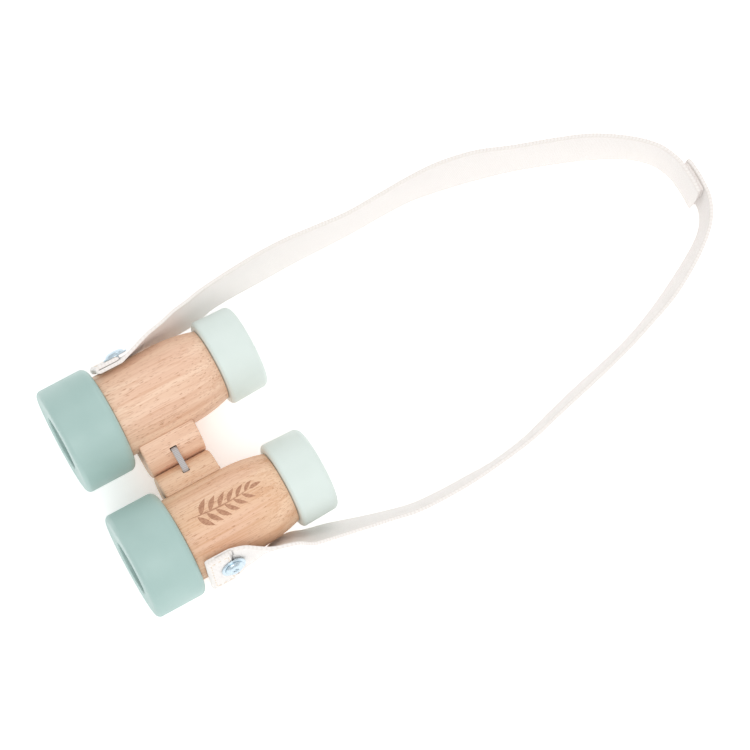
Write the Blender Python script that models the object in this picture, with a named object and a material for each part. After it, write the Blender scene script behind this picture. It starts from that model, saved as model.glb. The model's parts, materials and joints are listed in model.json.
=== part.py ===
"""Toy binoculars: two turned beech tubes that fold on a rolling hinge, and a neck strap.

+X is the user's right, +Y points forward to what is looked at, and +Z is up. The origin is
under the middle of the wooden body, on the surface that its four rings rest on.

Each tube is drawn in its own frame: its axis is local Y with the front face at y = 0, local +X
points outward to the strap screw, and local -X points to the hinge. A distance "behind" is
measured backwards from the front face.
"""

import math

import bmesh
import bpy
from mathutils import Matrix, Vector

MM = 0.001
CLEARANCE = 0.3 * MM
TURNED_SIDES = 48

# Objective ring: the large painted ring at the front of each tube
OBJECTIVE_RADIUS = 26.7 * MM
OBJECTIVE_LENGTH = 26.3 * MM
OBJECTIVE_FRONT_ROUND = 2.5 * MM
OBJECTIVE_REAR_ROUND = 3.5 * MM
OBJECTIVE_MOUTH_RADIUS = 13.4 * MM
OBJECTIVE_MOUTH_DEPTH = 10.0 * MM
MOUTH_CHAMFER = 0.8 * MM

# Lenses, thin discs that the barrel's spigots hold against the rings' shoulders
LENS_THICKNESS = 2.0 * MM
OBJECTIVE_LENS_RADIUS = 15.0 * MM
EYEPIECE_LENS_RADIUS = 12.4 * MM

# Barrel: the bare wooden tube between the rings
BARREL_RADIUS = 20.9 * MM
BARREL_STRAIGHT_END = 58.5 * MM
BARREL_REAR_RADIUS = 17.7 * MM
FRONT_SPIGOT_RADIUS = 16.7 * MM
REAR_SPIGOT_RADIUS = 14.2 * MM
REAR_SPIGOT_LENGTH = 8.5 * MM
FRONT_BORE_RADIUS = 12.0 * MM
REAR_BORE_RADIUS = 10.0 * MM

# Eyepiece ring: the small painted ring at the rear
TUBE_LENGTH = 100.0 * MM
EYEPIECE_LENGTH = 20.0 * MM
EYEPIECE_FRONT_RADIUS = 21.6 * MM
EYEPIECE_REAR_RADIUS = 21.0 * MM
EYEPIECE_FRONT_ROUND = 2.0 * MM
EYEPIECE_REAR_ROUND = 3.0 * MM
EYEPIECE_HOLE_RADIUS = 10.0 * MM

# Hinge blocks, whose half-round ends roll on each other
BLOCK_LENGTH = 29.0 * MM
BLOCK_MIDDLE = 44.6 * MM
BLOCK_THICKNESS = 21.8 * MM
ROLL_CENTRE = 23.9 * MM
ROLLING_GAP = 0.3 * MM
REST_FOLD = math.radians(16.5)
DOWEL_RADIUS = 2.5 * MM
DOWEL_LENGTH = 12.0 * MM
DOWEL_IN_BARREL = 4.5 * MM
DOWEL_SPACING = 18.0 * MM

# Elastic loop that ties the blocks together through a slot in each
ELASTIC_WIDTH = 3.0 * MM
ELASTIC_THICKNESS = 1.0 * MM
ELASTIC_BEND = 1.2 * MM
SLOT_WIDTH = 3.6 * MM
SLOT_HEIGHT = 1.8 * MM
SLOT_INSET = 2.1 * MM

# Neck strap and its screws
STRAP_WIDTH = 25.7 * MM
STRAP_THICKNESS = 1.6 * MM
HEM_THICKNESS = 3.4 * MM
HEM_START = 28.9 * MM
HEM_LENGTH = 18.5 * MM
SCREW_BEHIND = 41.5 * MM
SCREW_SHANK_RADIUS = 1.6 * MM
SCREW_SHANK_LENGTH = 12.0 * MM
SCREW_HEAD_RADIUS = 4.6 * MM
SCREW_HEAD_HEIGHT = 2.4 * MM
SCREW_CROSS_LENGTH = 4.4 * MM
SCREW_CROSS_WIDTH = 0.8 * MM
SCREW_CROSS_DEPTH = 1.1 * MM
WASHER_RADIUS = 6.15 * MM
WASHER_THICKNESS = 0.8 * MM

# The strap's break-away closure: both halves follow one arc, with a patch on each between them
PATCH_THICKNESS = 0.7 * MM
PATCH_WIDTH = 22.0 * MM
CLOSURE_RADIUS = 60.0 * MM
CLOSURE_BEHIND_SCREW = 281.0 * MM
CLOSURE_LEAN = 5.0
RIGHT_ARC_START = -10.0
RIGHT_ARC_END = 9.0
LEFT_ARC_START = 11.0
LEFT_ARC_END = -8.0
PATCH_INSET = 0.8
SEAT_STATION = 2
STRAP_LIFT = 0.5 * MM

# The strap's free run from each screw to the closure. Each point is its way outward and forward
# from the screw in millimetres, the height of its lower edge as a share of that edge's height at
# the screw, and its outward lean in degrees.
RIGHT_RUN = [
    (2.4, -17.2, 0.84, -4), (4.3, -29.2, 0.52, 6.5), (6.1, -41.2, 0.28, 10.3),
    (8.9, -53.2, 0.14, 9.5), (10.1, -65.2, 0.06, 11.5), (10.7, -81.2, 0, 14),
    (10.4, -97.2, 0, 13), (9.3, -113.2, 0, 10), (8.5, -129.2, 0, 7),
    (9.0, -147.2, 0, 7), (8.9, -163.2, 0, 9), (7.1, -179.2, 0, 14),
    (3.3, -197.2, 0, 15), (-2.3, -214.2, 0, 10), (-9.3, -233.2, 0, 10),
    (-16.7, -250.2, 0, 10), (-26.3, -266.0, 0, 6), (-35.9, -275.8, 0.02, 5),
]
LEFT_RUN = [
    (2.9, -18.6, 0.83, 9), (3.4, -30.2, 0.56, 23), (5.5, -39.2, 0.36, 25),
    (7.3, -49.2, 0.20, 25), (10.1, -61.2, 0.09, 22), (13.3, -74.7, 0, 19),
    (16.6, -88.2, 0, 18), (17.8, -103.2, 0, 17), (17.7, -117.2, 0, 16),
    (16.7, -133.2, 0, 13), (13.9, -152.2, 0, 13), (9.9, -168.2, 0, 14),
    (5.3, -187.2, 0, 15), (0.3, -207.2, 0, 14), (-5.3, -225.7, 0, 13),
    (-12.5, -244.9, 0, 15), (-21.7, -262.3, 0, 13), (-30.5, -274.8, 0, 9),
    (-37.5, -280.9, 0, 6),
]

# Sizes that follow from the ones above
ROLL_RADIUS = BLOCK_THICKNESS / 2
OBJECTIVE_STEP = OBJECTIVE_MOUTH_DEPTH + CLEARANCE + LENS_THICKNESS
BARREL_FRONT = OBJECTIVE_STEP + CLEARANCE
BARREL_SHOULDER = OBJECTIVE_LENGTH + CLEARANCE
EYEPIECE_FRONT = TUBE_LENGTH - EYEPIECE_LENGTH
BARREL_REAR_SHOULDER = EYEPIECE_FRONT - CLEARANCE
BARREL_END = BARREL_REAR_SHOULDER + REAR_SPIGOT_LENGTH
EYEPIECE_STEP = BARREL_END + CLEARANCE
EYEPIECE_SHOULDER = EYEPIECE_STEP + LENS_THICKNESS + CLEARANCE
SADDLE_RADIUS = BARREL_RADIUS + CLEARANCE
STRAP_RADIUS = BARREL_RADIUS + CLEARANCE + HEM_THICKNESS / 2
WASHER_RADIUS_OUT = STRAP_RADIUS + HEM_THICKNESS / 2 + CLEARANCE
SCREW_SEAT = WASHER_RADIUS_OUT + WASHER_THICKNESS + CLEARANCE
SCREW_HOLE_RADIUS = SCREW_SHANK_RADIUS + CLEARANCE

COLOURS = {
    "beech": ((0.76, 0.53, 0.36), 0.55, 0.0),
    "teal_paint": ((0.41, 0.60, 0.56), 0.45, 0.0),
    "mint_paint": ((0.72, 0.82, 0.77), 0.45, 0.0),
    "clear_plastic": ((0.85, 0.90, 0.90), 0.08, 0.0),
    "grey_elastic": ((0.38, 0.38, 0.40), 0.8, 0.0),
    "ivory_webbing": ((0.88, 0.84, 0.78), 0.9, 0.0),
    "bright_nickel": ((0.75, 0.74, 0.72), 0.2, 1.0),
    "white_pile": ((0.82, 0.80, 0.76), 0.95, 0.0),
}


def clear_scene():
    for old in list(bpy.data.objects):
        bpy.data.objects.remove(old, do_unlink=True)


def material(name):
    """The Principled material of a colour in the table, made once."""
    if name in bpy.data.materials:
        return bpy.data.materials[name]
    colour, roughness, metallic = COLOURS[name]
    made = bpy.data.materials.new(name)
    made.use_nodes = True
    shader = made.node_tree.nodes["Principled BSDF"]
    shader.inputs["Base Color"].default_value = (*colour, 1.0)
    shader.inputs["Roughness"].default_value = roughness
    shader.inputs["Metallic"].default_value = metallic
    made.diffuse_color = (*colour, 1.0)
    return made


def object_from(name, bm, material_name, parent=None, location=(0, 0, 0)):
    """A named object from a bmesh, with its faces pointing out."""
    bmesh.ops.recalc_face_normals(bm, faces=bm.faces[:])
    mesh = bpy.data.meshes.new(name)
    bm.to_mesh(mesh)
    bm.free()
    mesh.shade_smooth()
    mesh.set_sharp_from_angle(angle=math.radians(30))
    made = bpy.data.objects.new(name, mesh)
    bpy.context.collection.objects.link(made)
    made.parent = parent
    made.location = location
    if material_name:
        mesh.materials.append(material(material_name))
    return made


def cut(target, name, bm):
    """Cut a bmesh's shape out of an object, in that object's own frame."""
    cutter = object_from(name, bm, None, target.parent, target.location)
    cutter.hide_render = True
    cutter.display_type = "WIRE"
    boolean = target.modifiers.new(name, "BOOLEAN")
    boolean.operation = "DIFFERENCE"
    boolean.solver = "EXACT"
    boolean.object = cutter


def arc(behind, radius, size, start, end, steps=3):
    """Points (behind, radius) of a rounding about a centre, from one angle to another."""
    points = []
    for step in range(steps + 1):
        angle = math.radians(start + (end - start) * step / steps)
        points.append((behind + size * math.cos(angle), radius + size * math.sin(angle)))
    return points


def turned(outline):
    """A bmesh turned about the tube's axis from a closed outline of (behind, radius)."""
    bm = bmesh.new()
    points = [bm.verts.new((radius, -behind, 0)) for behind, radius in outline]
    edges = [bm.edges.new((points[i - 1], points[i])) for i in range(len(points))]
    bmesh.ops.spin(
        bm, geom=points + edges, cent=(0, 0, 0), axis=(0, 1, 0),
        angle=2 * math.pi, steps=TURNED_SIDES, use_merge=True,
    )
    return bm


def rod(radius, low, high, along, sides=24):
    """A round bar along a local axis, from its low to its high end, centred on that axis."""
    bm = bmesh.new()
    turn = {
        "x": Matrix.Rotation(math.pi / 2, 4, "Y"),
        "y": Matrix.Rotation(math.pi / 2, 4, "X"),
    }[along]
    middle = Vector(((low + high) / 2, 0, 0)) if along == "x" else Vector((0, (low + high) / 2, 0))
    bmesh.ops.create_cone(
        bm, cap_ends=True, segments=sides, radius1=radius, radius2=radius,
        depth=high - low, matrix=Matrix.Translation(middle) @ turn,
    )
    return bm


def moved(bm, x=0.0, y=0.0, z=0.0):
    bmesh.ops.translate(bm, verts=bm.verts[:], vec=(x, y, z))
    return bm


def box(size_x, size_y, size_z):
    bm = bmesh.new()
    bmesh.ops.create_cube(bm, size=1.0, matrix=Matrix.Diagonal((size_x, size_y, size_z, 1.0)))
    return bm


def objective_outline():
    """The objective ring's outer edge, front to rear."""
    front = arc(
        OBJECTIVE_FRONT_ROUND, OBJECTIVE_RADIUS - OBJECTIVE_FRONT_ROUND,
        OBJECTIVE_FRONT_ROUND, 180, 90,
    )
    rear = arc(
        OBJECTIVE_LENGTH - OBJECTIVE_REAR_ROUND, OBJECTIVE_RADIUS - OBJECTIVE_REAR_ROUND,
        OBJECTIVE_REAR_ROUND, 90, 0,
    )
    return front + rear


def eyepiece_outline():
    """The eyepiece ring's outer edge, front to rear."""
    front = arc(
        EYEPIECE_FRONT + EYEPIECE_FRONT_ROUND, EYEPIECE_FRONT_RADIUS - EYEPIECE_FRONT_ROUND,
        EYEPIECE_FRONT_ROUND, 180, 90,
    )
    rear = arc(
        TUBE_LENGTH - EYEPIECE_REAR_ROUND, EYEPIECE_REAR_RADIUS - EYEPIECE_REAR_ROUND,
        EYEPIECE_REAR_ROUND, 90, 0,
    )
    return front + rear


def rest_tilt():
    """How far the tubes' fronts are raised when both rings touch the surface below."""
    return max(
        min(math.atan2(p[1] - q[1], q[0] - p[0]) for q in eyepiece_outline())
        for p in objective_outline()
    )


def rest_frame():
    """The front end of the fold's middle line, and the tilt, when the tubes rest on their rings."""
    tilt = rest_tilt()
    outline = objective_outline() + eyepiece_outline()
    height = max(s * math.sin(tilt) + r * math.cos(tilt) for s, r in outline)
    forward = max(-s * math.cos(tilt) + r * math.sin(tilt) for s, r in outline)
    backward = min(-s * math.cos(tilt) - r * math.sin(tilt) for s, r in outline)
    drop = ROLL_CENTRE * math.sin(REST_FOLD)
    frame = bpy.data.objects.new("rest_frame", None)
    frame.location = (
        0, -(forward + backward) / 2 + drop * math.sin(tilt), height - drop * math.cos(tilt),
    )
    frame.rotation_euler = (tilt, 0, 0)
    bpy.context.collection.objects.link(frame)
    return frame


def tube_frame(side, name, rest):
    """An empty on a tube's rolling axis, turned so that its +X points out through the screw."""
    frame = bpy.data.objects.new(name + "_tube_frame", None)
    frame.parent = rest
    frame.location = (side * (ROLL_RADIUS + ROLLING_GAP / 2), 0, 0)
    frame.rotation_euler = (0, -REST_FOLD if side > 0 else math.pi + REST_FOLD, 0)
    bpy.context.collection.objects.link(frame)
    return frame


def objective_ring(name, frame, axis):
    outline = [
        (0, OBJECTIVE_MOUTH_RADIUS + MOUTH_CHAMFER),
        *objective_outline(),
        (OBJECTIVE_LENGTH, FRONT_SPIGOT_RADIUS + CLEARANCE),
        (OBJECTIVE_STEP, FRONT_SPIGOT_RADIUS + CLEARANCE),
        (OBJECTIVE_STEP, OBJECTIVE_LENS_RADIUS + CLEARANCE),
        (OBJECTIVE_MOUTH_DEPTH, OBJECTIVE_LENS_RADIUS + CLEARANCE),
        (OBJECTIVE_MOUTH_DEPTH, OBJECTIVE_MOUTH_RADIUS),
        (MOUTH_CHAMFER, OBJECTIVE_MOUTH_RADIUS),
    ]
    object_from(name + "_objective_ring", turned(outline), "teal_paint", frame, axis)


def eyepiece_ring(name, frame, axis):
    outline = [
        (EYEPIECE_FRONT, REAR_SPIGOT_RADIUS + CLEARANCE),
        *eyepiece_outline(),
        (TUBE_LENGTH, EYEPIECE_HOLE_RADIUS + MOUTH_CHAMFER),
        (TUBE_LENGTH - MOUTH_CHAMFER, EYEPIECE_HOLE_RADIUS),
        (EYEPIECE_SHOULDER, EYEPIECE_HOLE_RADIUS),
        (EYEPIECE_SHOULDER, EYEPIECE_LENS_RADIUS + CLEARANCE),
        (EYEPIECE_STEP, EYEPIECE_LENS_RADIUS + CLEARANCE),
        (EYEPIECE_STEP, REAR_SPIGOT_RADIUS + CLEARANCE),
    ]
    object_from(name + "_eyepiece_ring", turned(outline), "mint_paint", frame, axis)


def taper():
    """The barrel's curve from its straight part down to its rear shoulder."""
    run = BARREL_REAR_SHOULDER - BARREL_STRAIGHT_END
    fall = BARREL_RADIUS - BARREL_REAR_RADIUS
    sweep = (run * run + fall * fall) / (2 * fall)
    end = math.degrees(math.asin(run / sweep))
    return arc(BARREL_STRAIGHT_END, BARREL_RADIUS - sweep, sweep, 90, 90 - end, steps=5)


def dowel_places():
    return {
        "front": BLOCK_MIDDLE - DOWEL_SPACING / 2,
        "rear": BLOCK_MIDDLE + DOWEL_SPACING / 2,
    }


def dowel_hole(behind):
    inner = -BARREL_RADIUS + DOWEL_IN_BARREL
    hole = rod(
        DOWEL_RADIUS + CLEARANCE, inner - DOWEL_LENGTH - CLEARANCE, inner + CLEARANCE, "x",
    )
    return moved(hole, y=-behind)


def barrel(name, frame, axis):
    outline = [
        (BARREL_FRONT, FRONT_BORE_RADIUS),
        (BARREL_FRONT, FRONT_SPIGOT_RADIUS),
        (BARREL_SHOULDER, FRONT_SPIGOT_RADIUS),
        (BARREL_SHOULDER, BARREL_RADIUS),
        *taper(),
        (BARREL_REAR_SHOULDER, REAR_SPIGOT_RADIUS),
        (BARREL_END, REAR_SPIGOT_RADIUS),
        (BARREL_END, REAR_BORE_RADIUS),
    ]
    tube = object_from(name + "_barrel", turned(outline), "beech", frame, axis)
    for place, behind in dowel_places().items():
        cut(tube, f"cutter_{name}_barrel_dowel_{place}", dowel_hole(behind))
    tip = SCREW_SEAT - SCREW_SHANK_LENGTH - CLEARANCE
    hole = rod(SCREW_HOLE_RADIUS, tip, SCREW_SEAT, "x", sides=16)
    cut(tube, f"cutter_{name}_barrel_screw", moved(hole, y=-SCREW_BEHIND))


def lens(name, frame, axis, radius, front):
    disc = rod(radius, -front - LENS_THICKNESS, -front, "y", sides=TURNED_SIDES)
    object_from(name, disc, "clear_plastic", frame, axis)


def hinge_block(name, frame, axis):
    """A block glued to the barrel, half-round where it rolls on the other one."""
    roll = arc(-ROLL_CENTRE, 0, ROLL_RADIUS, 90, 270, steps=20)
    reach = math.degrees(math.asin(ROLL_RADIUS / SADDLE_RADIUS))
    saddle = arc(0, 0, SADDLE_RADIUS, 180 + reach, 180 - reach, steps=10)
    front = -BLOCK_MIDDLE + BLOCK_LENGTH / 2
    bm = bmesh.new()
    face = bm.faces.new([bm.verts.new((x, front, z)) for x, z in roll + saddle])
    grown = bmesh.ops.extrude_face_region(bm, geom=[face])
    corners = [v for v in grown["geom"] if isinstance(v, bmesh.types.BMVert)]
    bmesh.ops.translate(bm, verts=corners, vec=(0, -BLOCK_LENGTH, 0))
    block = object_from(name + "_hinge_block", bm, "beech", frame, axis)
    for place, behind in dowel_places().items():
        cut(block, f"cutter_{name}_block_dowel_{place}", dowel_hole(behind))
    slot = box(SLOT_HEIGHT, SLOT_WIDTH, 2 * BLOCK_THICKNESS)
    cut(block, f"cutter_{name}_block_slot", moved(slot, -ROLL_CENTRE - SLOT_INSET, -BLOCK_MIDDLE))


def dowels(name, frame, axis):
    inner = -BARREL_RADIUS + DOWEL_IN_BARREL
    for place, behind in dowel_places().items():
        pin = rod(DOWEL_RADIUS, inner - DOWEL_LENGTH, inner, "x")
        object_from(f"{name}_hinge_dowel_{place}", moved(pin, y=-behind), "beech", frame, axis)


def strap_screw(name, frame, axis):
    """A pan-head screw turned about local X, with a cross recess in its head."""
    dome = [
        (SCREW_HEAD_RADIUS, 0), (SCREW_HEAD_RADIUS, 0.45), (0.88 * SCREW_HEAD_RADIUS, 0.82),
        (0.6 * SCREW_HEAD_RADIUS, 1.0),
    ]
    rims = [(SCREW_SHANK_RADIUS, -SCREW_SHANK_LENGTH), (SCREW_SHANK_RADIUS, 0)]
    rims += [(radius, share * SCREW_HEAD_HEIGHT) for radius, share in dome]
    sides = 24
    bm = bmesh.new()
    rings = []
    for radius, out in rims:
        corners = []
        for step in range(sides):
            angle = 2 * math.pi * step / sides
            y, z = radius * math.cos(angle), radius * math.sin(angle)
            corners.append(bm.verts.new((SCREW_SEAT + out, y - SCREW_BEHIND, z)))
        rings.append(corners)
    for low, high in zip(rings, rings[1:]):
        for step in range(sides):
            bm.faces.new((low[step - 1], low[step], high[step], high[step - 1]))
    bm.faces.new(rings[0])
    bm.faces.new(rings[-1])
    screw = object_from(name + "_strap_screw", bm, "bright_nickel", frame, axis)
    top = SCREW_SEAT + SCREW_HEAD_HEIGHT
    for index, (y, z) in enumerate(
        [(SCREW_CROSS_LENGTH, SCREW_CROSS_WIDTH), (SCREW_CROSS_WIDTH, SCREW_CROSS_LENGTH)]
    ):
        notch = moved(box(2 * SCREW_CROSS_DEPTH, y, z), top, -SCREW_BEHIND)
        cut(screw, f"cutter_{name}_screw_cross_{index}", notch)


def strap_washer(name, frame, axis):
    disc = rod(WASHER_RADIUS, WASHER_RADIUS_OUT, WASHER_RADIUS_OUT + WASHER_THICKNESS, "x", 32)
    washer = object_from(
        name + "_strap_washer", moved(disc, y=-SCREW_BEHIND), "bright_nickel", frame, axis,
    )
    hole = rod(SCREW_HOLE_RADIUS, STRAP_RADIUS, SCREW_SEAT + CLEARANCE, "x", 16)
    cut(washer, f"cutter_{name}_washer_hole", moved(hole, y=-SCREW_BEHIND))


def bent(corners, size, steps=3):
    """A closed path of (x, z) through corners, each one rounded to a bend radius."""
    path = []
    for i, corner in enumerate(corners):
        here = Vector(corner)
        back = (Vector(corners[i - 1]) - here).normalized()
        ahead = (Vector(corners[(i + 1) % len(corners)]) - here).normalized()
        half = back.angle(ahead) / 2
        centre = here + (back + ahead).normalized() * size / math.sin(half)
        start = here + back * size / math.tan(half) - centre
        end = here + ahead * size / math.tan(half) - centre
        for step in range(steps + 1):
            path.append(centre + start.slerp(end, step / steps).normalized() * size)
    return path


def hinge_elastic(rest):
    """A flat elastic loop down one block's slot and up the other's, closed above and below."""
    slot = Vector((ROLL_RADIUS + ROLLING_GAP / 2, 0)) - SLOT_INSET * Vector(
        (math.cos(REST_FOLD), math.sin(REST_FOLD))
    )
    lean = math.tan(REST_FOLD)
    reach = math.sqrt(ROLL_RADIUS**2 - SLOT_INSET**2)
    above = slot.y + reach * math.cos(REST_FOLD) + CLEARANCE + ELASTIC_THICKNESS / 2
    below = -ROLL_RADIUS - CLEARANCE - ELASTIC_THICKNESS / 2
    top = slot.x - (above - slot.y) * lean
    bottom = slot.x - (below - slot.y) * lean
    path = bent([(top, above), (bottom, below), (-bottom, below), (-top, above)], ELASTIC_BEND)
    bm = bmesh.new()
    sections = []
    for i, point in enumerate(path):
        ahead = (path[(i + 1) % len(path)] - path[i - 1]).normalized()
        out = Vector((-ahead.y, ahead.x)) * ELASTIC_THICKNESS / 2
        section = []
        for sign, y in ((1, 1), (1, -1), (-1, -1), (-1, 1)):
            place = point + sign * out
            behind = -BLOCK_MIDDLE + y * ELASTIC_WIDTH / 2
            section.append(bm.verts.new((place.x, behind, place.y)))
        sections.append(section)
    for i, section in enumerate(sections):
        for k in range(4):
            bm.faces.new((sections[i - 1][k - 1], sections[i - 1][k], section[k], section[k - 1]))
    object_from("hinge_elastic", bm, "grey_elastic", rest)


def mount_stations(side, frame):
    """The strap's folded end, flat against its barrel: centre, upward edge way and thickness."""
    bpy.context.view_layer.update()
    world = frame.matrix_world
    up = world.to_3x3() @ Vector((0, 0, side))
    hem_end = HEM_START + HEM_LENGTH
    stations = []
    for behind, thickness in (
        (HEM_START, HEM_THICKNESS), ((HEM_START + SCREW_BEHIND) / 2, HEM_THICKNESS),
        (SCREW_BEHIND, HEM_THICKNESS), (hem_end, HEM_THICKNESS),
        (hem_end + 2 * MM, STRAP_THICKNESS),
    ):
        centre = world @ Vector((ROLL_CENTRE + STRAP_RADIUS, -behind, 0))
        stations.append((centre, up, thickness))
    return stations


def run_stations(side, run, seat, after):
    """The strap's free run from its seat at the screw, its lean made an upward edge way."""
    seat_edge = seat.z - STRAP_WIDTH / 2 * math.cos(REST_FOLD) - STRAP_LIFT
    flat = [Vector((seat.x + side * out * MM, seat.y + on * MM)) for out, on, _, _ in run]
    stations = []
    for i, (_, _, edge, lean) in enumerate(run):
        ahead = (flat + [after])[i + 1] - flat[max(i - 1, 0)]
        out = Vector((-ahead.y, ahead.x)).normalized() * side
        lean = math.radians(lean)
        up = Vector((out.x * math.sin(lean), out.y * math.sin(lean), math.cos(lean)))
        height = STRAP_WIDTH / 2 * math.cos(lean) + STRAP_THICKNESS / 2 * math.sin(lean)
        centre = flat[i].to_3d() + Vector((0, 0, edge * seat_edge + STRAP_LIFT + height))
        stations.append((centre, up, STRAP_THICKNESS))
    return stations


def closure_station(seat, angle, layer, thickness=STRAP_THICKNESS):
    """A place on the closure's arc, at an angle from its middle and some way out from it."""
    angle, lean = math.radians(angle), math.radians(CLOSURE_LEAN)
    out = Vector((-math.sin(angle), -math.cos(angle), 0))
    up = out * math.sin(lean) + Vector((0, 0, math.cos(lean)))
    normal = out * math.cos(lean) - Vector((0, 0, math.sin(lean)))
    lowest = (LEFT_LAYER + STRAP_THICKNESS / 2) * math.sin(lean)
    height = STRAP_LIFT + lowest + STRAP_WIDTH / 2 * math.cos(lean)
    middle = Vector((0, seat.y - CLOSURE_BEHIND_SCREW + CLOSURE_RADIUS, height))
    return middle + out * CLOSURE_RADIUS + normal * layer, up, thickness


RIGHT_PATCH_LAYER = STRAP_THICKNESS / 2 + CLEARANCE + PATCH_THICKNESS / 2
LEFT_PATCH_LAYER = RIGHT_PATCH_LAYER + PATCH_THICKNESS + CLEARANCE
LEFT_LAYER = LEFT_PATCH_LAYER + PATCH_THICKNESS / 2 + CLEARANCE + STRAP_THICKNESS / 2


def smooth(values, i, share):
    """A point of the smooth curve through a list, some share of the way from i to i + 1."""
    before, here = values[max(i - 1, 0)], values[i]
    ahead, after = values[i + 1], values[min(i + 2, len(values) - 1)]
    start, end = (ahead - before) / 2, (after - here) / 2
    t2, t3 = share**2, share**3
    return (
        here * (2 * t3 - 3 * t2 + 1) + start * (t3 - 2 * t2 + share)
        + ahead * (3 * t2 - 2 * t3) + end * (t3 - t2)
    )


def ribbon(name, stations, width, material_name, parts=2):
    """A flat band through stations, each a centre, an upward edge way and a thickness."""
    centres, ups = [s[0] for s in stations], [s[1] for s in stations]
    rows = []
    for i in range(len(stations) - 1):
        for part in range(parts):
            share = part / parts
            thickness = stations[i][2] + (stations[i + 1][2] - stations[i][2]) * share
            rows.append((smooth(centres, i, share), smooth(ups, i, share), thickness))
    rows.append(stations[-1])
    bm = bmesh.new()
    sections = []
    for i, (centre, up, thickness) in enumerate(rows):
        ahead = (rows[min(i + 1, len(rows) - 1)][0] - rows[max(i - 1, 0)][0]).normalized()
        up = (up - ahead * up.dot(ahead)).normalized()
        out = ahead.cross(up)
        sections.append([
            bm.verts.new(centre + up * (u * width / 2) + out * (o * thickness / 2))
            for u, o in ((1, 1), (1, -1), (-1, -1), (-1, 1))
        ])
    for low, high in zip(sections, sections[1:]):
        for k in range(4):
            bm.faces.new((low[k - 1], low[k], high[k], high[k - 1]))
    bm.faces.new(sections[0])
    bm.faces.new(sections[-1])
    return object_from(name, bm, material_name)


def strap_half(side, name, frame, run, arc_ends, layer):
    """One half of the neck strap, from its folded end at the screw to the closure."""
    folded = mount_stations(side, frame)
    seat = folded[SEAT_STATION][0]
    closure = closure_arc(seat, *arc_ends, layer)
    stations = folded + run_stations(side, run, seat, closure[0][0].to_2d()) + closure
    half = ribbon(name + "_strap", stations, STRAP_WIDTH, "ivory_webbing")
    hole = rod(SCREW_HOLE_RADIUS, BARREL_RADIUS, SCREW_SEAT, "x", 16)
    bmesh.ops.transform(
        hole, matrix=frame.matrix_world @ Matrix.Translation((ROLL_CENTRE, -SCREW_BEHIND, 0)),
        verts=hole.verts[:],
    )
    cut(half, f"cutter_{name}_strap_hole", hole)
    return seat


def closure_arc(seat, start, end, layer, thickness=STRAP_THICKNESS, steps=4):
    return [
        closure_station(seat, start + (end - start) * step / steps, layer, thickness)
        for step in range(steps + 1)
    ]


def neck_strap(frames):
    """Both halves of the strap, and the patch that each one carries at the closure."""
    ends = (RIGHT_ARC_START, RIGHT_ARC_END)
    seat = strap_half(1, "right", frames["right"], RIGHT_RUN, ends, 0)
    ends = (LEFT_ARC_START, LEFT_ARC_END)
    strap_half(-1, "left", frames["left"], LEFT_RUN, ends, LEFT_LAYER)
    for name, layer in (("right", RIGHT_PATCH_LAYER), ("left", LEFT_PATCH_LAYER)):
        places = closure_arc(
            seat, LEFT_ARC_END + PATCH_INSET, RIGHT_ARC_END - PATCH_INSET, layer, PATCH_THICKNESS,
        )
        ribbon(name + "_closure_patch", places, PATCH_WIDTH, "white_pile")


def tube(side, name, rest):
    """Every wooden, plastic and metal piece of one tube."""
    frame = tube_frame(side, name, rest)
    axis = (ROLL_CENTRE, 0, 0)
    objective_ring(name, frame, axis)
    barrel(name, frame, axis)
    eyepiece_ring(name, frame, axis)
    lens(
        name + "_objective_lens", frame, axis, OBJECTIVE_LENS_RADIUS,
        OBJECTIVE_MOUTH_DEPTH + CLEARANCE,
    )
    lens(name + "_eyepiece_lens", frame, axis, EYEPIECE_LENS_RADIUS, EYEPIECE_STEP)
    hinge_block(name, frame, axis)
    dowels(name, frame, axis)
    strap_screw(name, frame, axis)
    strap_washer(name, frame, axis)
    return frame


def build():
    clear_scene()
    rest = rest_frame()
    frames = {name: tube(side, name, rest) for side, name in ((-1, "left"), (1, "right"))}
    hinge_elastic(rest)
    neck_strap(frames)


build()
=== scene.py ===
# %% [markdown]
# # Toy binoculars of beech, with painted rings, a rolling hinge and a cotton neck strap
#
# Two turned beech tubes carry a large sage-teal ring in front and a small mint ring behind. Two
# blocks roll on each other between them, tied by a loop of flat elastic, and a flat cotton tape is
# screwed to each tube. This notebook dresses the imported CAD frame: it makes finer surfaces where
# the frame has plain ones, gives every surface its finish, and sets up the studio.

# %% The frame, and the box that it fills
import json
import math

import bmesh
import bpy
import numpy as np
from mathutils import Matrix, Vector


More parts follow.
